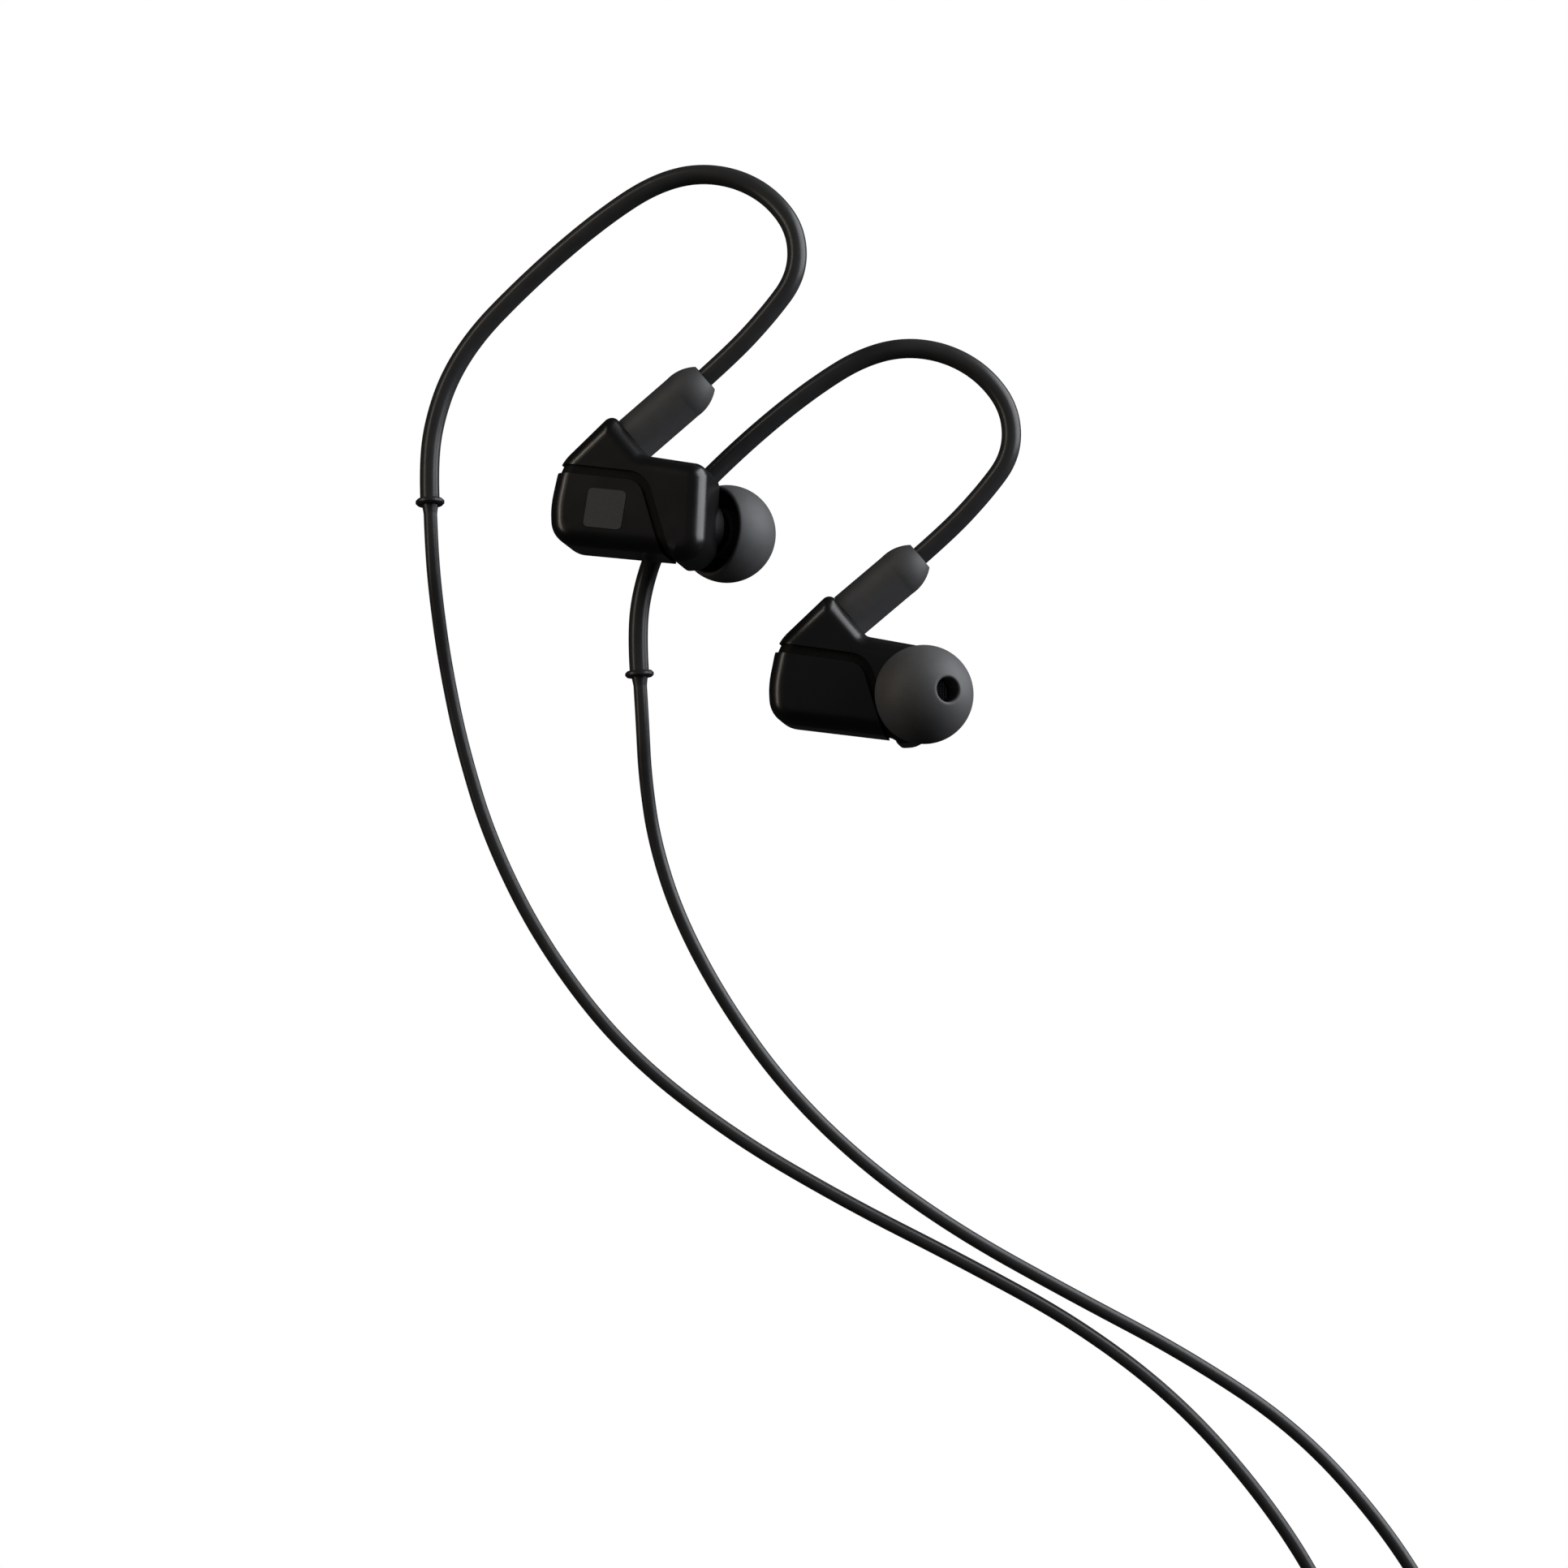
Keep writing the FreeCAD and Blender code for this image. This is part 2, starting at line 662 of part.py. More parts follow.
def hook_and_wires(side, ear, hand):
    """The sleeve over the ear, the memory wire that holds its shape and the core wires to the board."""
    first_bend = on_boot_axis(HOOK_STRAIGHT)
    bends = [(first_bend.x, first_bend.y)] + HOOK_FROM_MOUTH
    offset = hand * size("wire_offset")

    def route_from(distance):
        start = on_boot_axis(distance)
        return [(start.x, start.y)] + bends

    seat = size("boot_length - boot_seat")
    bent_tube(f"{side}_hook_sleeve", ear, route_from(seat), "hook_dia", "hook_bore_dia")
    bent_tube(f"{side}_memory_wire", ear, route_from(WIRE_START), "wire_dia", depth=offset)
    bent_tube(f"{side}_core_wires", ear, route_from(CORE_START), "wire_dia", depth=-offset)
    end = Vector(*HOOK_FROM_MOUTH[-1], 0)
    way = (end - Vector(*HOOK_FROM_MOUTH[-2], 0)).normalize()
    turned(f"{side}_hook_collar", ear * along(end, way), [
        ("collar_bore_dia / 2", "0"),
        ("collar_dia / 2 - collar_chamfer", "0"),
        ("collar_dia / 2", "collar_chamfer"),
        ("collar_dia / 2", "collar_flange - collar_chamfer"),
        ("collar_dia / 2 - collar_chamfer", "collar_flange"),
        ("collar_neck_dia / 2", "collar_flange"),
        ("branch_dia / 2", "collar_length"),
        ("collar_bore_dia / 2", "collar_length"),
    ])


def terminal_board(side, ear, hand):
    """The board on which core wires and driver leads are soldered, with the two leads."""
    face = -hand * (size("wire_offset") - size("wire_dia") / 2)
    middle = face + hand * size("board_thick") / 2
    body = new_body(f"{side}_terminal_board", ear * Placement(Vector(*BOARD_CENTRE, middle), Rotation()))
    sketch = new_sketch(body)
    across = size("board_wide") / 2
    up = size("board_tall") / 2
    add_outline(sketch, [(-across, -up, 0), (across, -up, 0), (across, up, 0), (-across, up, 0)])
    pad_both_ways(body, sketch, "board_thick")

    nozzle = nozzle_place(hand)
    driver_back = size("nozzle_root + driver_depth")
    leads = []
    for number, (x, y) in enumerate(LEAD_STARTS):
        across = size("lead_spacing") * (0.5 - number)
        end = nozzle.multVec(Vector(0, 0, -driver_back)) + Vector(0, across + LEAD_OFF_AXIS, 0)
        before_end = end + (nozzle.multVec(Vector(0, 0, -1)) - nozzle.Base) * LEAD_BACK
        rise = face - hand * size("lead_rise")
        corner = (x + LEAD_CORNER[0], y + LEAD_CORNER[1], rise)
        points = [(x, y, face), (x, y, rise), corner, tuple(before_end), tuple(end)]
        leads.append(free_tube(f"{side}_lead_{number + 1}", points, size("lead_dia")))
    pair = doc.addObject("Part::Compound", f"{side}_lead_wires")
    pair.Label = f"{side}_lead_wires"
    pair.Links = leads
    pair.Placement = ear


def earpiece(side, hand, ear):
    shell(f"{side}_front_shell", ear, hand, drop_upper=False)
    shell(f"{side}_rear_shell", ear, hand, drop_upper=True)
    seam_gasket(f"{side}_seam_gasket", ear, hand)
    badge(f"{side}_badge", ear, hand)
    nozzle_and_driver(side, ear * nozzle_place(hand))
    ear_tip(f"{side}_ear_tip", ear * nozzle_place(hand))
    cable_boot(f"{side}_cable_boot", ear)
    hook_and_wires(side, ear, hand)
    terminal_board(side, ear, hand)


def lying(place, lean, towards, turn):
    """An earpiece's placement: turned in its plane, then leaned over towards a direction, in degrees."""
    axis = Vector(-math.sin(math.radians(towards)), math.cos(math.radians(towards)), 0)
    return Placement(Vector(*place), Rotation(axis, lean) * Rotation(Vector(0, 0, 1), turn))


# Each earpiece's hand, and where and how it lies on the surface.
LEAN_TOWARDS = 144.7
TURN = 1.3
EARS = {
    "right": (1, lying((-10.15, -7.35, 10.85), 17.3, LEAN_TOWARDS, TURN)),
    "left": (-1, lying((17.3, -29.8, 6.25), 8.9, LEAN_TOWARDS, TURN)),
}

for side, (hand, ear) in EARS.items():
    earpiece(side, hand, ear)

# ---------------------------------------------------------------- cables and what is on them

BRANCH_FLOOR = size("branch_dia") / 2    # height of a branch cable's middle where it lies on the surface
HARDWARE_HEIGHT = 1.75                   # height of the cables' middle in the slider and the splitter
SPLITTER_X = 23.0                        # the splitter's face towards the ears
SPLITTER_Y = -168.75
SLIDER_GAP = 1.0                         # between the slider and the splitter, with the slider right back
RIGHT_LINE = SPLITTER_Y + size("branch_spacing") / 2
LEFT_LINE = SPLITTER_Y - size("branch_spacing") / 2

# Each branch leaves its collar, comes down to the surface, runs in one long S and turns to the splitter.
RIGHT_BRANCH = [
    (-36.1, -18.4, 4.0),
    (-35.1, -26.6, 1.8),
    (-33.0, -37.2, BRANCH_FLOOR),
    (-29.2, -49.6, BRANCH_FLOOR),
    (-22.4, -63.0, BRANCH_FLOOR),
    (-12.2, -76.2, BRANCH_FLOOR),
    (1.2, -86.8, BRANCH_FLOOR),
    (16.2, -95.6, BRANCH_FLOOR),
    (31.6, -103.4, BRANCH_FLOOR),
    (46.6, -111.6, BRANCH_FLOOR),
    (59.6, -121.6, BRANCH_FLOOR),
    (70.6, -134.2, BRANCH_FLOOR),
    (78.4, -146.6, BRANCH_FLOOR),
    (81.4, -157.0, BRANCH_FLOOR),
    (75.7, -165.6, BRANCH_FLOOR),
    (58.2, RIGHT_LINE, HARDWARE_HEIGHT),
    (SPLITTER_X, RIGHT_LINE, HARDWARE_HEIGHT),
]
LEFT_BRANCH = [
    (-9.4, -41.0, 2.2),
    (-8.2, -49.6, BRANCH_FLOOR),
    (-5.0, -59.4, BRANCH_FLOOR),
    (0.8, -70.2, BRANCH_FLOOR),
    (8.6, -81.0, BRANCH_FLOOR),
    (18.6, -90.8, BRANCH_FLOOR),
    (30.8, -99.5, BRANCH_FLOOR),
    (45.2, -107.5, BRANCH_FLOOR),
    (60.2, -115.4, BRANCH_FLOOR),
    (74.4, -124.8, BRANCH_FLOOR),
    (85.8, -137.4, BRANCH_FLOOR),
    (93.6, -150.2, BRANCH_FLOOR),
    (96.2, -162.6, BRANCH_FLOOR),
    (89.2, -172.2, BRANCH_FLOOR),
    (74.6, -174.2, BRANCH_FLOOR),
    (57.2, LEFT_LINE, HARDWARE_HEIGHT),
    (SPLITTER_X, LEFT_LINE, HARDWARE_HEIGHT),
]
COLLAR_LEAD = 5.0  # how far a branch runs straight on from its collar


def branch_cable(side, ear, rest_of_route):
    end = Vector(*HOOK_FROM_MOUTH[-1], 0)
    way = (end - Vector(*HOOK_FROM_MOUTH[-2], 0)).normalize()
    exit_point = ear.multVec(end + way * size("collar_length"))
    straight_on = ear.multVec(end + way * (size("collar_length") + COLLAR_LEAD))
    print(f"{side} branch leaves its collar at {tuple(round(c, 2) for c in exit_point)}"
          f" towards {tuple(round(c, 2) for c in straight_on)}")
    route = [tuple(exit_point), tuple(straight_on)] + rest_of_route
    free_tube(f"{side}_branch_cable", route, size("branch_dia"))


branch_cable("right", EARS["right"][1], RIGHT_BRANCH)
branch_cable("left", EARS["left"][1], LEFT_BRANCH)


def chin_slider():
    """A small rounded block that slides on both branches, its bores running on the cables."""
    middle = Vector(SPLITTER_X + SLIDER_GAP + size("slider_long") / 2, SPLITTER_Y, HARDWARE_HEIGHT)
    body = new_body("chin_slider", Placement(middle, Rotation()))
    outline = new_sketch(body, "YZ_Plane")
    across = size("slider_wide") / 2
    up = size("slider_tall") / 2
    add_outline(outline, [(-across, -up, 0), (across, -up, 0), (across, up, 0), (-across, up, 0)])
    pad_both_ways(body, outline, "slider_long")
    round_all_edges(body, "small_round")
    bores = new_sketch(body, "YZ_Plane")
    for way in (-1, 1):
        centre = (way * size("branch_spacing") / 2, 0)
        add_constrained_circle(bores, "branch_dia + 2 * slider_clearance", centre)
    cut_both_ways(body, bores, "2 * slider_long")


def splitter():
    """The Y splitter, wide towards the ears and narrow towards the plug."""
    body = new_body("y_splitter", Placement(Vector(SPLITTER_X, SPLITTER_Y, HARDWARE_HEIGHT), Rotation()))
    outline = new_sketch(body)
    long = size("splitter_long")
    wide = size("splitter_wide") / 2
    narrow = size("splitter_narrow") / 2
    shoulder = size("splitter_shoulder")
    bend = size("splitter_shoulder_round")
    add_outline(outline, [(-long, -narrow, 0), (-shoulder, -wide, bend), (0, -wide, 0),
                          (0, wide, 0), (-shoulder, wide, bend), (-long, narrow, 0)])
    pad_both_ways(body, outline, "splitter_tall")
    round_all_edges(body, "small_round")


chin_slider()
splitter()
SPLITTER_BACK = SPLITTER_X - size("splitter_long")
turned("splitter_relief", along(Vector(SPLITTER_BACK, SPLITTER_Y, HARDWARE_HEIGHT), Vector(-1, 0, 0)), [
    ("main_dia / 2", "0"),
    ("relief_start_dia / 2", "0"),
    ("relief_end_dia / 2", "relief_long"),
    ("main_dia / 2", "relief_long"),
])

COIL_CENTRE = Vector(-27.0, -165.6, 0)
PLUG_Y = -153.2
PLUG_HEIGHT = size("grip_dia") / 2
PLUG_X = 20.0  # the grip's front face
RELIEF_BACK = PLUG_X - size("grip_long") - size("plug_relief_long")

# The main cable runs from the splitter into the bottom of the coil, and from its top out to the plug.
free_tube("main_cable_to_coil", [
    (SPLITTER_BACK, SPLITTER_Y, HARDWARE_HEIGHT),
    (-5.0, SPLITTER_Y, HARDWARE_HEIGHT),
    (-17.5, -177.6, 1.6),
], size("main_dia"))
free_tube("main_cable_to_plug", [
    (-18.6, -152.6, 7.2),
    (RELIEF_BACK - 4.0, PLUG_Y, PLUG_HEIGHT),
    (PLUG_X - size("grip_long - plug_relief_seat"), PLUG_Y, PLUG_HEIGHT),
], size("main_dia"))


def cable_coil():
    """The outer shape of the wound turns, one ring with rounded edges."""
    middle = COIL_CENTRE + Vector(0, 0, size("coil_tall") / 2)
    body = new_body("main_cable_coil", Placement(middle, Rotation()))
    sketch = new_sketch(body, "XZ_Plane")
    inner = size("coil_mean_radius - coil_wide / 2")
    outer = size("coil_mean_radius + coil_wide / 2")
    up = size("coil_tall") / 2
    corner = size("coil_round")
    add_outline(sketch, [
        (inner, -up, corner),
        (outer, -up, corner),
        (outer, up, corner),
        (inner, up, corner),
    ])
    feature(body, "Revolution", sketch, ReferenceAxis=(sketch, ["V_Axis"]), Angle=360.0)


cable_coil()

# ---------------------------------------------------------------- plug

plug_place = along(Vector(PLUG_X, PLUG_Y, PLUG_HEIGHT), Vector(1, 0, 0))
turned("plug_sleeve_contact", plug_place, [
    ("plug_core_dia / 2", "-plug_root"),
    ("plug_root_dia / 2", "-plug_root"),
    ("plug_root_dia / 2", "0"),
    ("plug_dia / 2", "0"),
    ("plug_dia / 2", "plug_sleeve_end"),
    ("plug_core_dia / 2", "plug_sleeve_end"),
])
turned("plug_ring_contact", plug_place, [
    ("plug_core_dia / 2", "plug_ring_start"),
    ("plug_dia / 2", "plug_ring_start"),
    ("plug_dia / 2", "plug_ring_end"),
    ("plug_core_dia / 2", "plug_ring_end"),
])
turned("plug_insulator", plug_place, [
    ("plug_pin_dia / 2", "-plug_root"),
    ("plug_core_dia / 2", "-plug_root"),
    ("plug_core_dia / 2", "plug_sleeve_end"),
    ("plug_dia / 2", "plug_sleeve_end"),
    ("plug_dia / 2", "plug_ring_start"),
    ("plug_core_dia / 2", "plug_ring_start"),
    ("plug_core_dia / 2", "plug_ring_end"),
    ("plug_dia / 2", "plug_ring_end"),
    ("plug_dia / 2", "plug_tip_start"),
    ("plug_pin_dia / 2", "plug_tip_start"),
])
turned("plug_tip_contact", plug_place, [
    ("0", "-plug_root"),
    ("plug_pin_dia / 2", "-plug_root"),
    ("plug_pin_dia / 2", "plug_tip_start"),
    ("plug_dia / 2", "plug_tip_start"),
    ("plug_dia / 2", "plug_groove_start"),
    ("plug_dia / 2 - plug_groove_depth", "plug_groove_middle"),
    ("plug_point_dia / 2", "plug_groove_end"),
    ("plug_nose_dia / 2", "plug_nose_start"),
    ("0", "plug_long"),
])
turned("plug_grip", plug_place, [
    ("grip_hollow_dia / 2", "-grip_long"),
    ("grip_dia / 2 - grip_back_chamfer", "-grip_long"),
    ("grip_dia / 2", "grip_back_chamfer - grip_long"),
    ("grip_dia / 2", "-grip_front_chamfer_long"),
    ("grip_dia / 2 - grip_front_chamfer", "0"),
    ("plug_root_dia / 2", "0"),
    ("plug_root_dia / 2", "-plug_root"),
    ("grip_hollow_dia / 2", "-plug_root"),
])
turned("plug_relief", plug_place, [
    ("main_dia / 2", "-grip_long - plug_relief_long"),
    ("plug_relief_end_dia / 2", "-grip_long - plug_relief_long"),
    ("plug_relief_dia / 2", "-grip_long"),
    ("grip_hollow_dia / 2", "-grip_long"),
    ("grip_hollow_dia / 2", "plug_relief_seat - grip_long"),
    ("main_dia / 2", "plug_relief_seat - grip_long"),
])

# ---------------------------------------------------------------- check and write

doc.recompute()
for item in doc.Objects:
    if {"Invalid", "Error"} & set(item.State):
        raise RuntimeError(f"{item.Label} failed: {item.State}")


def is_piece(item):
    """A piece of the object, and not a step on the way to one."""
    if item.TypeId in ("PartDesign::Body", "Part::Compound"):
        return True
    if item.TypeId == "Part::Cut":
        return item.Label.endswith("_ear_tip")
    return item.TypeId == "Part::Feature" and "_lead_" not in item.Label


for piece in filter(is_piece, doc.Objects):
    if piece.Shape.isNull() or not piece.Shape.isValid():
        raise RuntimeError(f"{piece.Label} has no valid shape")
    piece.Shape.exportStep(f"parts/{piece.Label}.step")
    print(f"{piece.Label}: {len(piece.Shape.Solids)} solid, {piece.Shape.Volume:.2f} mm3")
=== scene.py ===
"""The looks of a pair of in ear monitors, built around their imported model: cables, hooks, tips, materials,
lights and camera. Everything is in metres, +Z up, in the model's own frame."""

import json
import math

import bmesh
import bpy
from mathutils import Matrix, Vector


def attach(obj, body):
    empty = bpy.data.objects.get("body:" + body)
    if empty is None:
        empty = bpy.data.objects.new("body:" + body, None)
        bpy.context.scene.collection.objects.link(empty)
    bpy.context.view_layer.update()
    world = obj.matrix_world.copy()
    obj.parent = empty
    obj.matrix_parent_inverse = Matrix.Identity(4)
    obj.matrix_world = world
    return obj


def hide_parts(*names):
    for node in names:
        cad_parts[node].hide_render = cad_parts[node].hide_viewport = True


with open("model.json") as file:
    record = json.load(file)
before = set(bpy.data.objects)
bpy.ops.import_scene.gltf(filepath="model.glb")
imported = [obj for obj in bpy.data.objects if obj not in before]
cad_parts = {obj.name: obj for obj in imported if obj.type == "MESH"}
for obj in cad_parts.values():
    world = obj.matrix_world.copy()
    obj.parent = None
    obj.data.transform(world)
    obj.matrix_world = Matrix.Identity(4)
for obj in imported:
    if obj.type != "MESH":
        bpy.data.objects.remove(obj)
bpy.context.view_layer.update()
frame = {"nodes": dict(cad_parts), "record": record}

scene = bpy.context.scene
MM = 0.001
SIDES = ("right", "left")


# ---------------------------------------------------------------- camera

CAMERA_PLACE = (0.00845, -0.0419, 0.6277)
SENSOR_WIDTH = 36.0      # in millimetres, as the focal length
FOCAL_LENGTH = 111.8


def add_camera():
    """Straight above the surface that the pair lies on, with +Y up in the picture."""
    data = bpy.data.cameras.new("camera")
    data.sensor_width = SENSOR_WIDTH
    data.lens = FOCAL_LENGTH
    data.clip_start = 0.01
    data.clip_end = 20.0
    camera = bpy.data.objects.new("camera", data)
    camera.location = CAMERA_PLACE
    scene.collection.objects.link(camera)
    scene.camera = camera


add_camera()


# ---------------------------------------------------------------- cords

def spline_tube(name, points, diameter, sides=8):
    """A round tube along one smooth open spline, with the points as its control points."""
    curve = bpy.data.curves.new(name, "CURVE")
    curve.dimensions = "3D"
    curve.resolution_u = 12
    curve.bevel_depth = 1.0       # times each point's radius
    curve.bevel_resolution = sides
    curve.use_fill_caps = True
    spline = curve.splines.new("NURBS")
    spline.points.add(len(points) - 1)
    for control, point in zip(spline.points, points):
        control.co = (*point, 1.0)
        control.radius = diameter / 2
    spline.order_u = 3
    spline.use_endpoint_u = True
    piece = bpy.data.objects.new(name, curve)
    scene.collection.objects.link(piece)
    return piece


BRANCH_DIAMETER = 0.00175
MAIN_DIAMETER = 0.0024
BRANCH_FLOOR = BRANCH_DIAMETER / 2    # height of a branch's middle where it lies on the surface
HARDWARE_HEIGHT = 0.00175             # height of the cables' middle in the slider and the splitter
PLUG_HEIGHT = 0.0042                  # height of the plug's middle

# Each branch, from its collar down to the surface, along one long S and back to the splitter.
RIGHT_ROUTE = [
    (-0.03684, -0.00727, 0.00405),
    (-0.03660, -0.01217, 0.00499),
    (-0.0361, -0.0184, 0.0040),
    (-0.0351, -0.0266, 0.0018),
    (-0.0330, -0.0372, BRANCH_FLOOR),
    (-0.0292, -0.0496, BRANCH_FLOOR),
    (-0.0224, -0.0630, BRANCH_FLOOR),
    (-0.0122, -0.0762, BRANCH_FLOOR),
    (0.0012, -0.0868, BRANCH_FLOOR),
    (0.0162, -0.0956, BRANCH_FLOOR),
    (0.0316, -0.1034, BRANCH_FLOOR),
    (0.0466, -0.1116, BRANCH_FLOOR),
    (0.0596, -0.1216, BRANCH_FLOOR),
    (0.0706, -0.1342, BRANCH_FLOOR),
    (0.0784, -0.1466, BRANCH_FLOOR),
    (0.0814, -0.1570, BRANCH_FLOOR),
    (0.0757, -0.1656, BRANCH_FLOOR),
    (0.0582, -0.1676, HARDWARE_HEIGHT),
    (0.0230, -0.1676, HARDWARE_HEIGHT),
]
LEFT_ROUTE = [
    (-0.01001, -0.02928, 0.00271),
    (-0.00969, -0.03425, 0.00320),
    (-0.0094, -0.0410, 0.0022),
    (-0.0082, -0.0496, BRANCH_FLOOR),
    (-0.0050, -0.0594, BRANCH_FLOOR),
    (0.0008, -0.0702, BRANCH_FLOOR),
    (0.0086, -0.0810, BRANCH_FLOOR),
    (0.0186, -0.0908, BRANCH_FLOOR),
    (0.0308, -0.0995, BRANCH_FLOOR),
    (0.0452, -0.1075, BRANCH_FLOOR),
    (0.0602, -0.1154, BRANCH_FLOOR),
    (0.0744, -0.1248, BRANCH_FLOOR),
    (0.0858, -0.1374, BRANCH_FLOOR),
    (0.0936, -0.1502, BRANCH_FLOOR),
    (0.0962, -0.1626, BRANCH_FLOOR),
    (0.0892, -0.1722, BRANCH_FLOOR),
    (0.0746, -0.1742, BRANCH_FLOOR),
    (0.0572, -0.1699, HARDWARE_HEIGHT),
    (0.0230, -0.1699, HARDWARE_HEIGHT),
]

COIL_CENTRE = Vector((-0.0270, -0.1656, 0.0))
COIL_RADIUS = 0.0135       # at the middle of the turns
COIL_COLUMNS = 3
COIL_LAYERS = 4
COIL_PITCH = 0.00245       # from turn to turn across
COIL_RISE = 0.00242        # from layer to layer
COIL_FLOOR = 0.00155       # middle of the lowest layer, which lies on its tie
COIL_ENTRY = -50.0         # degrees, where the cable joins the coil
COIL_STEP = 0.185          # share of a turn in which the cable moves to the next column or layer
POINTS_PER_TURN = 16


def smooth_step(share):
    return share * share * (3 - 2 * share)


def coil_stages():
    """The winding as (turns, column change, layer change).

    The layers run inwards and outwards by turns, and each step falls just before the one of the layer below,
    so that no turn runs into another."""
    stages = []
    column_change = -1
    for layer in range(COIL_LAYERS):
        first = layer == 0
        last = layer == COIL_LAYERS - 1
        stages.append((1 - COIL_STEP if first else 1 - 2 * COIL_STEP, 0, 0))
        for _ in range(COIL_COLUMNS - 2):
            stages.append((COIL_STEP, column_change, 0))
            stages.append((1 - COIL_STEP, 0, 0))
        stages.append((COIL_STEP, column_change, 0))
        stages.append((1 - COIL_STEP if last else 1 - 2 * COIL_STEP, 0, 0))
        if not last:
            stages.append((COIL_STEP, 0, 1))
        column_change = -column_change
    return stages


def coil_points():
    """Control points of the wound turns, clockwise seen from above."""
    outwards = 1 / math.cos(math.pi / POINTS_PER_TURN)   # the spline runs inside its control points
    stages = coil_stages()
    total = sum(turns for turns, _, _ in stages)
    count = round(total * POINTS_PER_TURN)
    points = []
    for number in range(count + 1):
        turned = total * number / count
        column = COIL_COLUMNS - 1.0
        layer = 0.0
        start = 0.0
        for turns, column_change, layer_change in stages:
            share = smooth_step(min(max((turned - start) / turns, 0.0), 1.0))
            column += column_change * share
            layer += layer_change * share
            start += turns
        angle = math.radians(COIL_ENTRY) - 2 * math.pi * turned
        radius = (COIL_RADIUS + COIL_PITCH * (column - (COIL_COLUMNS - 1) / 2)) * outwards
        height = COIL_FLOOR + COIL_RISE * layer
        points.append(COIL_CENTRE + Vector((radius * math.cos(angle), radius * math.sin(angle), height)))
    return points


# The main cable, from the splitter to the coil and from the coil to the plug's grip.
TO_COIL = [
    (0.0070, -0.16875, HARDWARE_HEIGHT),
    (0.0010, -0.16875, HARDWARE_HEIGHT),
    (-0.0060, -0.1702, 0.00170),
    (-0.0112, -0.1741, 0.00160),
]
TO_PLUG = [
    (-0.0136, -0.1539, 0.0070),
    (-0.0100, -0.1532, 0.0048),
    (-0.0040, -0.1532, PLUG_HEIGHT),
    (0.0040, -0.1532, PLUG_HEIGHT),
]


def make_cords():
    cords = {}
    routes = {"right": RIGHT_ROUTE, "left": LEFT_ROUTE}
    for side, route in routes.items():
        cable = spline_tube(f"{side}_cable", route, BRANCH_DIAMETER)
        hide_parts(f"{side}_branch_cable")
        cords[side] = cable
    main = spline_tube("main_cable", TO_COIL + coil_points() + TO_PLUG, MAIN_DIAMETER, sides=6)
    main.data.resolution_u = 5
    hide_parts("main_cable_to_coil", "main_cable_coil", "main_cable_to_plug")
    cords["main"] = main
    for cable in cords.values():
        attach(cable, "root")
    return cords


cords = make_cords()


# ---------------------------------------------------------------- materials

def new_material(name, colour, roughness, **settings):
    """A Principled material. The settings name further sockets of its shader."""
    material = bpy.data.materials.new(name)
    material.use_nodes = True
    shader = material.node_tree.nodes["Principled BSDF"]
    shader.inputs["Base Color"].default_value = (*colour, 1.0)
    shader.inputs["Roughness"].default_value = roughness
    for socket, value in settings.items():
        shader.inputs[socket.replace("_", " ")].default_value = value
    return material


NOISE_DETAIL = 3.0
NOISE_LOW = 0.3      # most of a noise's values lie between these two
NOISE_HIGH = 0.7


def add_noise(material, scale):
    """A noise over the object's own coordinates, at so many features a metre."""
    tree = material.node_tree
    place = tree.nodes.new("ShaderNodeTexCoord")
    noise = tree.nodes.new("ShaderNodeTexNoise")
    noise.inputs["Scale"].default_value = scale
    noise.inputs["Detail"].default_value = NOISE_DETAIL
    tree.links.new(place.outputs["Object"], noise.inputs["Vector"])
    return noise


def ramp_between(material, source, low, high, start, end):
    """Maps a texture's value to one between two colours."""
    tree = material.node_tree
    ramp = tree.nodes.new("ShaderNodeValToRGB")
    ramp.color_ramp.elements[0].position = start
    ramp.color_ramp.elements[1].position = end
    ramp.color_ramp.elements[0].color = (*low, 1.0)
    ramp.color_ramp.elements[1].color = (*high, 1.0)
    tree.links.new(source, ramp.inputs["Fac"])
    return ramp.outputs["Color"]


def vary_colour(material, scale, low, high, start=NOISE_LOW, end=NOISE_HIGH):
    noise = add_noise(material, scale)
    colour = ramp_between(material, noise.outputs["Fac"], low, high, start, end)
    shader = material.node_tree.nodes["Principled BSDF"]
    material.node_tree.links.new(colour, shader.inputs["Base Color"])


def vary_roughness(material, scale, low, high):
    noise = add_noise(material, scale)
    tree = material.node_tree
    spread = tree.nodes.new("ShaderNodeMapRange")
    spread.inputs["From Min"].default_value = NOISE_LOW
    spread.inputs["From Max"].default_value = NOISE_HIGH
    spread.inputs["To Min"].default_value = low
    spread.inputs["To Max"].default_value = high
    tree.links.new(noise.outputs["Fac"], spread.inputs["Value"])
    tree.links.new(spread.outputs["Result"], tree.nodes["Principled BSDF"].inputs["Roughness"])


def add_bump(material, scale, depth):
    """A fine moulded texture of that depth in metres."""
    noise = add_noise(material, scale)
    tree = material.node_tree
    bump = tree.nodes.new("ShaderNodeBump")
    bump.inputs["Strength"].default_value = 1.0
    bump.inputs["Distance"].default_value = depth
    tree.links.new(noise.outputs["Fac"], bump.inputs["Height"])
    tree.links.new(bump.outputs["Normal"], tree.nodes["Principled BSDF"].inputs["Normal"])


def grey(level):
    """A grey with a trace of blue."""
    return (level, level, level * 1.02)


def make_gloss_shell():
    material = new_material("gloss_shell", grey(0.006), 0.2)
    vary_roughness(material, 260.0, 0.27, 0.32)
    add_bump(material, 1400.0, 0.000001)
    return material


def make_seam_band():
    material = new_material("seam_band", grey(0.004), 0.6, Specular_IOR_Level=0.15)
    # The brownish specks over the near-black band are painted glints.
    vary_colour(material, 2600.0, (0.003, 0.003, 0.003), (0.014, 0.010, 0.006), 0.55, 0.75)
    add_bump(material, 5000.0, 0.00002)
    return material


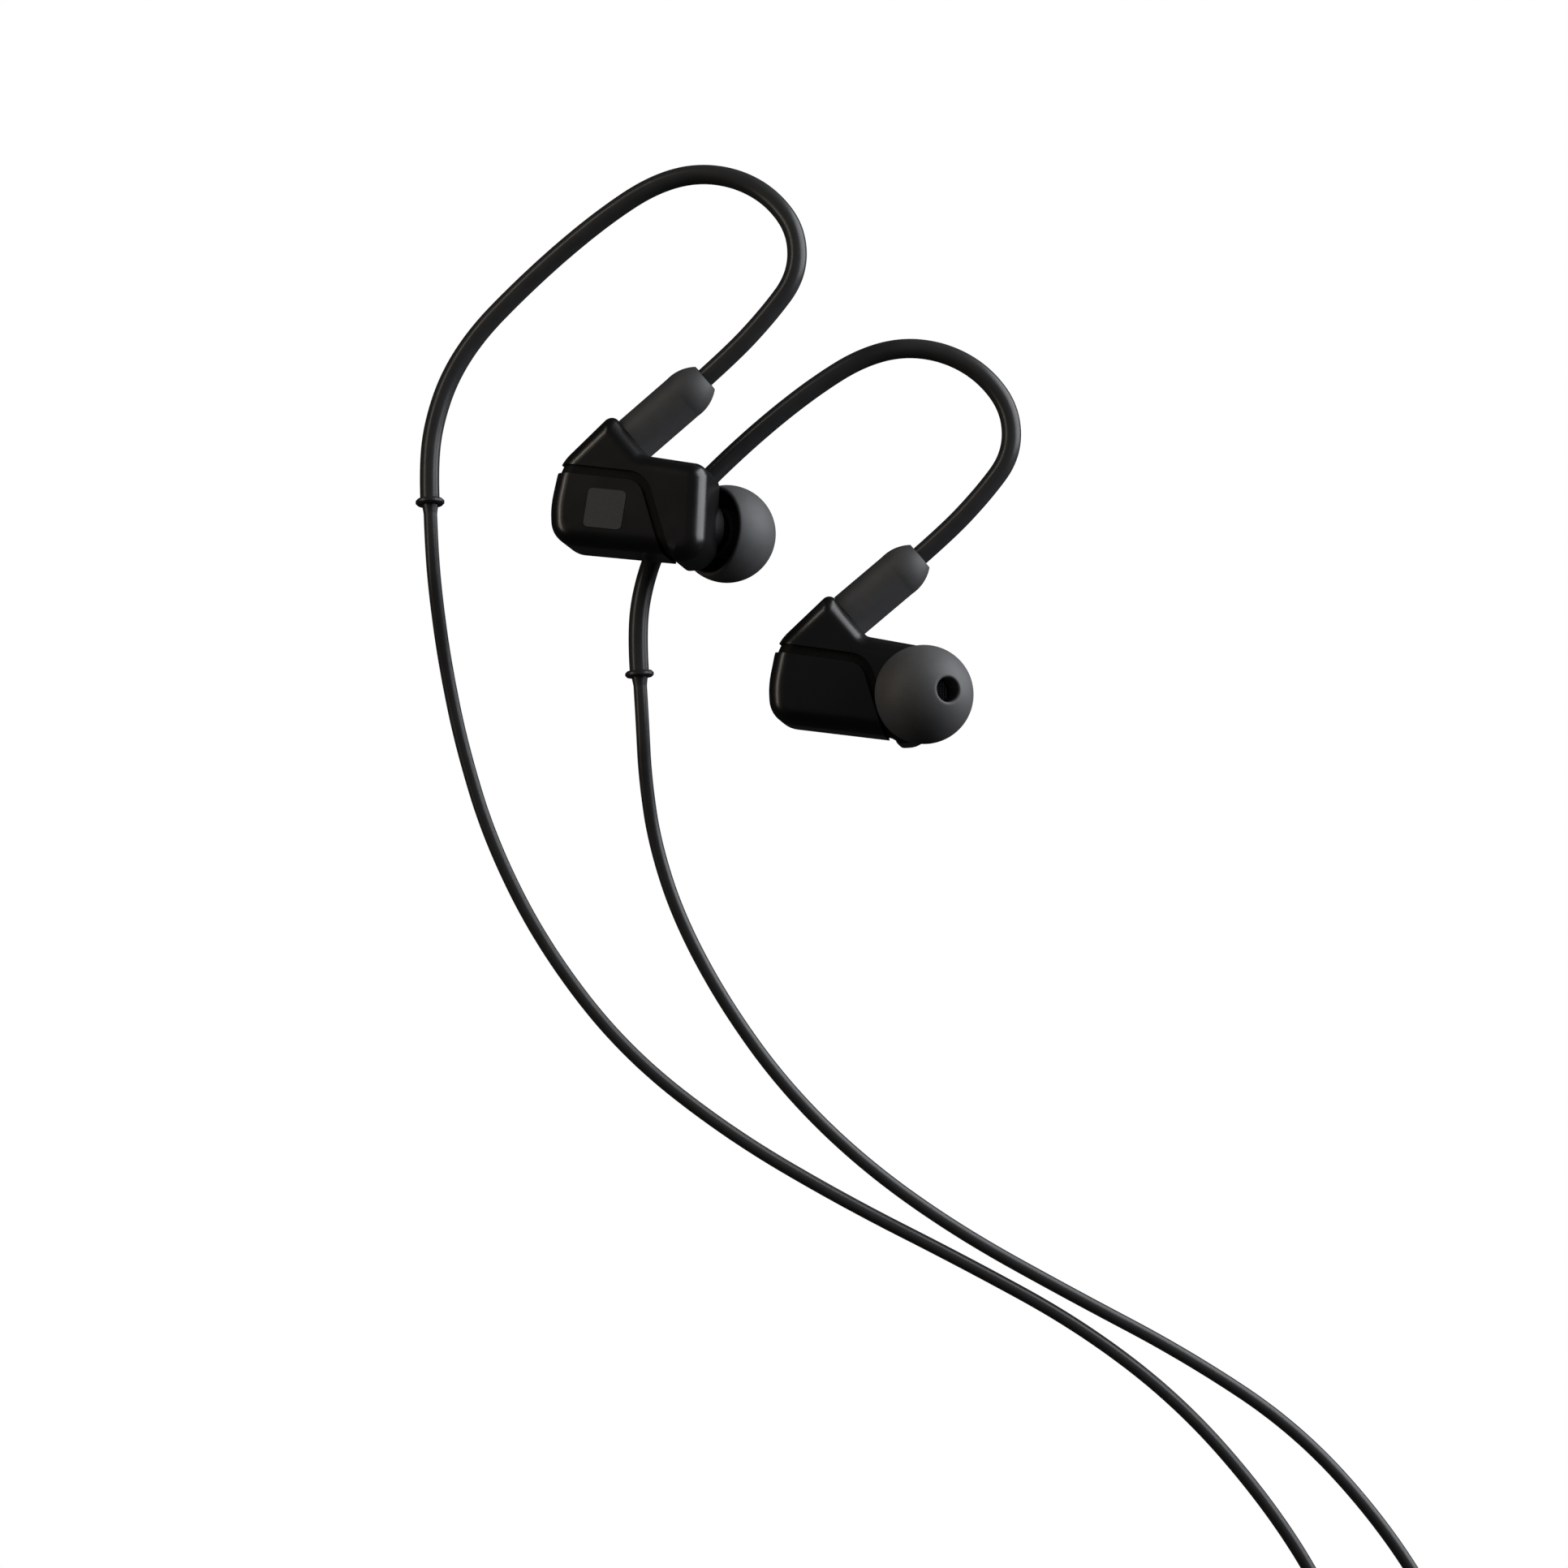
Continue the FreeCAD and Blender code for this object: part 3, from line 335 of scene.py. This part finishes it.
def make_badge():
    material = new_material("badge_plate", grey(0.035), 0.55)
    vary_colour(material, 9000.0, grey(0.028), grey(0.048))
    add_bump(material, 9000.0, 0.00001)
    return material


def make_nozzle():
    material = new_material("nozzle_plastic", grey(0.006), 0.6, Specular_IOR_Level=0.2)
    vary_roughness(material, 500.0, 0.55, 0.65)
    add_bump(material, 3000.0, 0.000006)
    return material


def make_steel(name, colour, roughness, spread):
    material = new_material(name, colour, roughness, Metallic=1.0)
    vary_roughness(material, 1800.0, roughness, roughness + spread)
    add_bump(material, 4000.0, 0.000005)
    return material


WIRE_SCALE = 900.0       # waves of the woven wire, so many a metre
WIRE_RELIEF = 0.00006


def make_mesh():
    """Woven wire: two crossed waves, with painted shade in the holes between the wires."""
    material = new_material("steel_mesh", (0.6, 0.6, 0.61), 0.4, Metallic=0.3)
    tree = material.node_tree
    place = tree.nodes.new("ShaderNodeTexCoord")
    waves = []
    for direction in ("X", "Y"):
        wave = tree.nodes.new("ShaderNodeTexWave")
        wave.bands_direction = direction
        wave.inputs["Scale"].default_value = WIRE_SCALE
        tree.links.new(place.outputs["Object"], wave.inputs["Vector"])
        waves.append(wave.outputs["Fac"])
    crossed = tree.nodes.new("ShaderNodeMath")
    crossed.operation = "MAXIMUM"
    tree.links.new(waves[0], crossed.inputs[0])
    tree.links.new(waves[1], crossed.inputs[1])
    # The dark end of this ramp is painted shade in the holes between the wires.
    wires = ramp_between(material, crossed.outputs["Value"], grey(0.05), grey(0.6), 0.45, 0.65)
    tree.links.new(wires, tree.nodes["Principled BSDF"].inputs["Base Color"])
    bump = tree.nodes.new("ShaderNodeBump")
    bump.inputs["Distance"].default_value = WIRE_RELIEF
    tree.links.new(crossed.outputs["Value"], bump.inputs["Height"])
    tree.links.new(bump.outputs["Normal"], tree.nodes["Principled BSDF"].inputs["Normal"])
    return material


def make_silicone():
    material = new_material("tip_silicone", grey(0.07), 0.62)
    vary_colour(material, 700.0, grey(0.066), grey(0.075))
    add_bump(material, 6000.0, 0.000006)
    return material


def make_rubber(name, low, high, roughness, grain=5000.0, depth=0.000006):
    material = new_material(name, grey(high), roughness)
    vary_colour(material, 600.0, grey(low), grey(high))
    add_bump(material, grain, depth)
    return material


def make_satin(name, low, high):
    """Smooth, slightly dull cable plastic."""
    material = new_material(name, grey(high), 0.25, Specular_IOR_Level=0.3)
    vary_colour(material, 400.0, grey(low), grey(high))
    vary_roughness(material, 300.0, 0.28, 0.34)
    add_bump(material, 1500.0, 0.0000004)
    return material


def make_gold():
    material = new_material("gold_contact", (0.95, 0.68, 0.32), 0.18, Metallic=1.0)
    vary_roughness(material, 2500.0, 0.14, 0.24)
    return material


def make_materials():
    """One material for each material slot of the record."""
    return {
        "gloss_shell": make_gloss_shell(),
        "seam_band": make_seam_band(),
        "badge_plate": make_badge(),
        "nozzle_plastic": make_nozzle(),
        "steel_mesh": make_mesh(),
        "tip_silicone": make_silicone(),
        "driver_steel": make_steel("driver_steel", (0.45, 0.45, 0.46), 0.3, 0.15),
        "magnet": make_steel("magnet", (0.6, 0.6, 0.62), 0.12, 0.1),
        "copper": make_steel("copper", (0.85, 0.42, 0.22), 0.25, 0.15),
        "film": make_rubber("film", 0.20, 0.26, 0.25),
        "board": make_rubber("board", 0.05, 0.07, 0.4),
        "lead_jacket": make_rubber("lead_jacket", 0.10, 0.14, 0.3),
        "boot_rubber": make_rubber("boot_rubber", 0.052, 0.060, 0.6),
        "hook_sleeve": make_satin("hook_sleeve", 0.030, 0.036),
        "spring_steel": make_steel("spring_steel", (0.5, 0.5, 0.5), 0.25, 0.1),
        "core_jacket": make_rubber("core_jacket", 0.04, 0.06, 0.4),
        "collar": make_rubber("collar", 0.018, 0.024, 0.4),
        "cable_jacket": make_satin("cable_jacket", 0.032, 0.038),
        "hardware": make_rubber("hardware", 0.02, 0.03, 0.42, grain=3500.0, depth=0.00002),
        "relief_rubber": make_rubber("relief_rubber", 0.02, 0.03, 0.55),
        "gold_contact": make_gold(),
        "insulator": make_rubber("insulator", 0.010, 0.014, 0.3),
    }


materials = make_materials()


def wear(piece, slot):
    """Gives a piece the material of that slot."""
    piece.data.materials.clear()
    piece.data.materials.append(materials[slot])


def dress_cad_nodes():
    for entry in frame["record"]["subparts"]:
        node = frame["nodes"][entry["node"]]
        wear(node, entry["material_slot"])


dress_cad_nodes()
for cable in cords.values():
    wear(cable, "cable_jacket")


# ---------------------------------------------------------------- ear tips

def arc(middle, radius, start, end, steps):
    """Points (radius, height) on an arc round a middle, from one angle to another in degrees."""
    points = []
    for number in range(steps + 1):
        angle = math.radians(start + (end - start) * number / steps)
        points.append((middle[0] + radius * math.cos(angle), middle[1] + radius * math.sin(angle)))
    return points


def lathe(name, profile, place, segments=96):
    """A closed ring of points (radius, height) turned about the Z axis of a place."""
    mesh = bpy.data.meshes.new(name)
    build = bmesh.new()
    rings = []
    for number in range(segments):
        angle = 2 * math.pi * number / segments
        ring = [build.verts.new((r * math.cos(angle), r * math.sin(angle), h)) for r, h in profile]
        rings.append(ring)
    count = len(profile)
    for number, ring in enumerate(rings):
        following = rings[(number + 1) % segments]
        for corner in range(count):
            after = (corner + 1) % count
            build.faces.new((ring[corner], following[corner], following[after], ring[after]))
    bmesh.ops.recalc_face_normals(build, faces=build.faces)
    for face in build.faces:
        face.smooth = True
    build.to_mesh(mesh)
    build.free()
    mesh.transform(place)
    piece = bpy.data.objects.new(name, mesh)
    scene.collection.objects.link(piece)
    return piece


def facing(point, way):
    """A placement at a point whose Z axis points a way."""
    return Matrix.Translation(Vector(point)) @ Vector(way).to_track_quat("Z", "Y").to_matrix().to_4x4()


def mount(name):
    return next(entry for entry in frame["record"]["mounts"] if entry["name"] == name)


TIP_RADIUS = 6.25 * MM
TIP_SKIN = 0.6 * MM
TIP_DEPTH = 8.55 * MM       # from the front of the dome to the rim of its skirt
STEM_RADIUS = 3.1 * MM
STEM_DEPTH = 8.0 * MM
TIP_BORE = 2.46 * MM
TIP_STEP = 2.75 * MM        # depth at which the bore for the nozzle narrows to the sound hole
TIP_HOLE = 1.55 * MM
HOLE_ROUND = 0.3 * MM
STEM_FILLET = 0.7 * MM
STEM_ROUND = 0.2 * MM       # the two edges at the stem's end


def tip_profile():
    """Half the section of a silicone tip. Heights are measured from the front of the dome."""
    middle = (0.0, -TIP_RADIUS)
    inner = TIP_RADIUS - TIP_SKIN
    rim_angle = -math.degrees(math.asin((TIP_DEPTH - TIP_RADIUS) / TIP_RADIUS))
    hole_angle = math.degrees(math.acos((TIP_HOLE + HOLE_ROUND) / TIP_RADIUS))
    stem_angle = math.degrees(math.acos((STEM_RADIUS + STEM_FILLET) / (inner - STEM_FILLET)))
    rim_middle = (TIP_RADIUS - TIP_SKIN / 2) * math.cos(math.radians(rim_angle))
    rim_height = middle[1] + (TIP_RADIUS - TIP_SKIN / 2) * math.sin(math.radians(rim_angle))
    dome_at_hole = middle[1] + TIP_RADIUS * math.sin(math.radians(hole_angle))
    fillet_height = middle[1] + (inner - STEM_FILLET) * math.sin(math.radians(stem_angle))
    profile = arc(middle, TIP_RADIUS, hole_angle, rim_angle, 40)
    profile += arc((rim_middle, rim_height), TIP_SKIN / 2, rim_angle, rim_angle - 180, 8)[1:-1]
    profile += arc(middle, inner, rim_angle, stem_angle, 30)
    profile += arc((STEM_RADIUS + STEM_FILLET, fillet_height), STEM_FILLET, stem_angle, 180, 8)[1:]
    profile += arc((STEM_RADIUS - STEM_ROUND, STEM_ROUND - STEM_DEPTH), STEM_ROUND, 0, -90, 4)
    profile += arc((TIP_BORE + STEM_ROUND, STEM_ROUND - STEM_DEPTH), STEM_ROUND, -90, -180, 4)
    profile += [(TIP_BORE, -TIP_STEP), (TIP_HOLE, -TIP_STEP)]
    profile += arc((TIP_HOLE + HOLE_ROUND, dome_at_hole - HOLE_ROUND), HOLE_ROUND, 180, 90, 6)[:-1]
    return profile


def make_ear_tips():
    for side in SIDES:
        canal = mount(f"{side}_ear_canal")
        tip = lathe(f"{side}_silicone_tip", tip_profile(), facing(canal["pos_m"], canal["axis"]))
        wear(tip, "tip_silicone")
        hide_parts(f"{side}_ear_tip")
        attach(tip, f"{side}_tip")


make_ear_tips()


# ---------------------------------------------------------------- hooks

# Each earpiece's place: a turn in its own plane, then a lean towards a direction, in degrees.
LEAN_TOWARDS = 144.7
EAR_TURN = 1.3
EAR_PLACES = {
    "right": ((-0.01015, -0.00735, 0.01085), 17.3),
    "left": ((0.0173, -0.0298, 0.00625), 8.9),
}

# The hook in the earpiece's own plane: from inside the boot, over the ear and down to the collar.
HOOK_DIAMETER = 0.0025
HOOK_ROUTE = [
    (0.00410, 0.01297),
    (0.01174, 0.01909),
    (0.0172, 0.0246),
    (0.0209, 0.0294),
    (0.0209, 0.0352),
    (0.0176, 0.0400),
    (0.0128, 0.0430),
    (0.0072, 0.0440),
    (0.0016, 0.0427),
    (-0.0042, 0.0393),
    (-0.0102, 0.0349),
    (-0.0162, 0.0298),
    (-0.0216, 0.0246),
    (-0.0253, 0.0190),
    (-0.0273, 0.0128),
    (-0.0278, 0.0074),
    (-0.0276, 0.0032),
]


def ear_place(side):
    place, lean = EAR_PLACES[side]
    towards = math.radians(LEAN_TOWARDS)
    axis = Vector((-math.sin(towards), math.cos(towards), 0.0))
    leaning = Matrix.Rotation(math.radians(lean), 4, axis)
    turning = Matrix.Rotation(math.radians(EAR_TURN), 4, "Z")
    return Matrix.Translation(Vector(place)) @ leaning @ turning


def make_hooks():
    for side in SIDES:
        place = ear_place(side)
        points = [place @ Vector((x, y, 0.0)) for x, y in HOOK_ROUTE]
        hook = spline_tube(f"{side}_hook", points, HOOK_DIAMETER, sides=12)
        wear(hook, "hook_sleeve")
        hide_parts(f"{side}_hook_sleeve")
        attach(hook, "root")


make_hooks()


# ---------------------------------------------------------------- coil tie

TIE_AZIMUTH = 180.0         # where the strap sits on the coil, in degrees
TIE_WIDTH = 0.005
TIE_THICKNESS = 0.00032
TIE_CORNER = 0.0013
TIE_HALF_WIDE = 0.00368     # the strap's inner face, from the middle of the turns
TIE_HALF_TALL = 0.00486
TIE_STATIONS = (-1.0, -0.6, -0.2, 0.2, 0.6, 1.0)    # across the strap, in shares of half its width


def tie_path():
    """The strap's inner face as (outwards, up) from the middle of the turns. Its end laps over its start."""
    across = TIE_HALF_WIDE - TIE_CORNER
    up = TIE_HALF_TALL - TIE_CORNER
    lap = TIE_HALF_TALL + TIE_THICKNESS
    path = [(0.0004, TIE_HALF_TALL)]
    path += arc((across, up), TIE_CORNER, 90, 0, 6)
    path += arc((across, -up), TIE_CORNER, 0, -90, 6)
    path += arc((-across, -up), TIE_CORNER, -90, -180, 6)
    path += arc((-across, up), TIE_CORNER, 180, 90, 6)
    path += [(-0.0008, TIE_HALF_TALL), (-0.0002, TIE_HALF_TALL + 0.00006), (0.0005, lap), (0.0022, lap)]
    return path


def make_tie():
    """A hook and loop strap round the coil, bent with the turns inside it."""
    path = [Vector(point) for point in tie_path()]
    middle = COIL_CENTRE + Vector((0.0, 0.0, COIL_FLOOR + COIL_RISE * (COIL_LAYERS - 1) / 2))
    half_angle = TIE_WIDTH / 2 / COIL_RADIUS
    build = bmesh.new()
    faces = []
    for lift in (0.0, TIE_THICKNESS):
        grid = []
        for number, point in enumerate(path):
            before = path[max(number - 1, 0)]
            after = path[min(number + 1, len(path) - 1)]
            tangent = (after - before).normalized()
            outwards, up = point + Vector((-tangent.y, tangent.x)) * lift
            row = []
            for station in TIE_STATIONS:
                angle = math.radians(TIE_AZIMUTH) + half_angle * station
                reach = COIL_RADIUS + outwards
                offset = Vector((reach * math.cos(angle), reach * math.sin(angle), up))
                row.append(build.verts.new(middle + offset))
            grid.append(row)
        faces.append(grid)
    inner, outer = faces
    for grid in faces:
        for row, following in zip(grid, grid[1:]):
            for side in range(len(TIE_STATIONS) - 1):
                build.faces.new((row[side], row[side + 1], following[side + 1], following[side]))
    for edge in (0, -1):
        for number in range(len(path) - 1):
            build.faces.new((inner[number][edge], inner[number + 1][edge],
                             outer[number + 1][edge], outer[number][edge]))
        for side in range(len(TIE_STATIONS) - 1):
            build.faces.new((inner[edge][side], inner[edge][side + 1],
                             outer[edge][side + 1], outer[edge][side]))
    bmesh.ops.recalc_face_normals(build, faces=build.faces)
    mesh = bpy.data.meshes.new("coil_tie")
    build.to_mesh(mesh)
    build.free()
    tie = bpy.data.objects.new("coil_tie", mesh)
    scene.collection.objects.link(tie)
    tie.data.materials.append(make_rubber("tie_fabric", 0.015, 0.03, 0.85, grain=2200.0, depth=0.00006))
    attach(tie, "root")
    return tie


tie = make_tie()


# ---------------------------------------------------------------- studio

def glowing_white():
    material = bpy.data.materials.new("studio_white")
    material.use_nodes = True
    tree = material.node_tree
    tree.nodes.clear()
    glow = tree.nodes.new("ShaderNodeEmission")
    output = tree.nodes.new("ShaderNodeOutputMaterial")
    tree.links.new(glow.outputs["Emission"], output.inputs["Surface"])
    return material


FLOOR_SIZE = 4.0
FLOOR_HEIGHT = -0.0002      # just below the surface on which the pair lies
DOME_RADIUS = 4.0


def add_backdrop():
    """A white floor inside a white dome. Both are seen, but they light nothing and hide no lamp."""
    white = glowing_white()
    bpy.ops.mesh.primitive_plane_add(size=FLOOR_SIZE, location=(0.0, 0.0, FLOOR_HEIGHT))
    floor = bpy.context.object
    floor.name = "studio_floor"
    bpy.ops.mesh.primitive_uv_sphere_add(segments=48, ring_count=24, radius=DOME_RADIUS)
    dome = bpy.context.object
    dome.name = "studio_dome"
    for stage_piece in (floor, dome):
        stage_piece.data.materials.append(white)
        stage_piece.visible_diffuse = False
        stage_piece.visible_glossy = False
        stage_piece.visible_transmission = False
        stage_piece.visible_volume_scatter = False
        stage_piece.visible_shadow = False


LIGHT_TARGET = Vector((0.0, -0.03, 0.01))


def add_softbox(name, azimuth, elevation, distance, width, height, radiance, colour):
    """An area light that faces the pair. Azimuth runs anticlockwise from +X, and width lies level."""
    data = bpy.data.lights.new(name, "AREA")
    data.shape = "RECTANGLE"
    data.size = width
    data.size_y = height
    data.energy = radiance * math.pi * width * height
    data.color = colour
    light = bpy.data.objects.new(name, data)
    scene.collection.objects.link(light)
    across = math.radians(azimuth)
    up = math.radians(elevation)
    way = Vector((math.cos(up) * math.cos(across), math.cos(up) * math.sin(across), math.sin(up)))
    light.location = LIGHT_TARGET + way * distance
    light.rotation_mode = "QUATERNION"
    light.rotation_quaternion = way.to_track_quat("Z", "Y")
    light.visible_camera = False


COOL = (0.93, 0.96, 1.0)
WARM = (1.0, 0.90, 0.78)
NEUTRAL = (1.0, 1.0, 1.0)


def add_lights():
    add_softbox("key_right", azimuth=28.0, elevation=6.0, distance=0.55,
                width=0.60, height=0.62, radiance=5.2, colour=COOL)
    add_softbox("strip_left", azimuth=158.0, elevation=25.0, distance=0.60,
                width=0.72, height=0.06, radiance=9.5, colour=WARM)
    add_softbox("fill_top", azimuth=140.0, elevation=66.0, distance=0.70,
                width=0.60, height=0.60, radiance=0.06, colour=NEUTRAL)


WORLD_COLOUR = (0.5, 0.52, 0.55, 1.0)
WORLD_STRENGTH = 0.03


def set_world():
    world = bpy.data.worlds.new("world")
    world.use_nodes = True
    background = world.node_tree.nodes["Background"]
    background.inputs["Color"].default_value = WORLD_COLOUR
    background.inputs["Strength"].default_value = WORLD_STRENGTH
    scene.world = world


add_backdrop()
add_lights()
set_world()
scene.view_settings.view_transform = "Standard"
